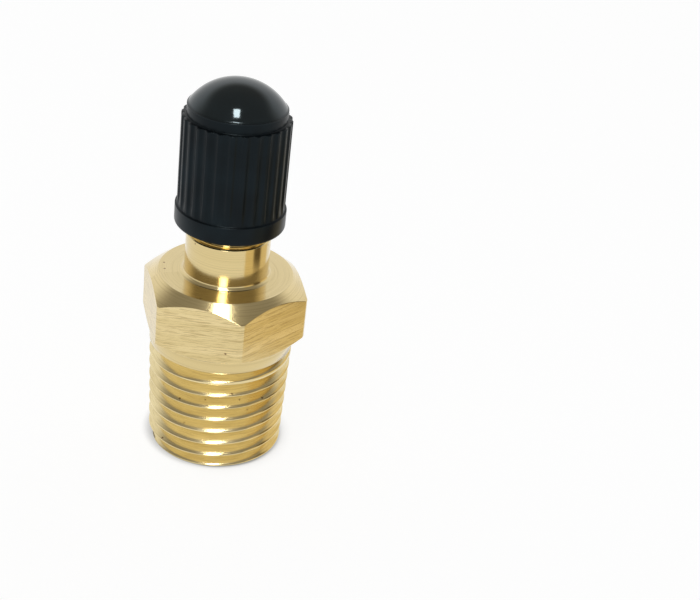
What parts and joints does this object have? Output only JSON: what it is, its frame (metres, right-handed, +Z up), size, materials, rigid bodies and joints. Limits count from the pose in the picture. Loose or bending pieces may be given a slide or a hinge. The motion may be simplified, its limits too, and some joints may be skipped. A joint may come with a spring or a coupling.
{
  "type": "tank charging valve",
  "caption": "Upright brass charging valve with a taper pipe thread, a hexagon, a threaded stem with a spring valve core inside, and a ribbed screw-on dust cap.",
  "frame": {"origin": "middle of the threaded end face, which the valve stands on", "axes": "+Z up the axis from the pipe thread to the dust cap; the hexagon has flats facing +X and -X and corners on +Y and -Y"},
  "size_m": [0.0142, 0.0162, 0.0375],
  "materials": {
    "turned_brass": "turned and milled, pale gold",
    "cap_plastic": "glossy moulded black",
    "seal_rubber": "matt",
    "core_brass": "turned, yellow",
    "spring_steel": "drawn wire",
    "gasket_rubber": "matt"
  },
  "bodies": {
    "valve": {"valve_body": "turned_brass", "core_plug": "core_brass"},
    "seal": {"cap_seal": "seal_rubber"},
    "cap": {"dust_cap": "cap_plastic"},
    "barrel": {"core_barrel": "core_brass", "barrel_gasket": "gasket_rubber", "core_spring": "spring_steel"},
    "plunger": {"core_pin": "core_brass", "plunger_cup": "core_brass", "cup_gasket": "gasket_rubber"}
  },
  "joints": [
    {"name": "cap_lift", "type": "slide", "parent": "valve", "child": "seal", "axis": [0, 0, 1], "range_m": [0, 0.0125]},
    {"name": "cap_turn", "type": "hinge", "parent": "seal", "child": "cap", "pos_m": [0, 0, 0.03], "axis": [0, 0, 1], "range_deg": [0, 5670]},
    {"name": "barrel_swivel", "type": "hinge", "parent": "valve", "child": "barrel", "pos_m": [0, 0, 0.0285], "axis": [0, 0, 1], "continuous": true},
    {"name": "pin_press", "type": "slide", "parent": "barrel", "child": "plunger", "axis": [0, 0, -1], "range_m": [0, 0.0012], "stiffness_N_per_m": 800, "springref_m": -0.002, "deforming": ["core_spring"]}
  ],
  "couplings": [
    {"joint": "cap_turn", "follows": "cap_lift", "rad_per_m": 7915.8}
  ]
}
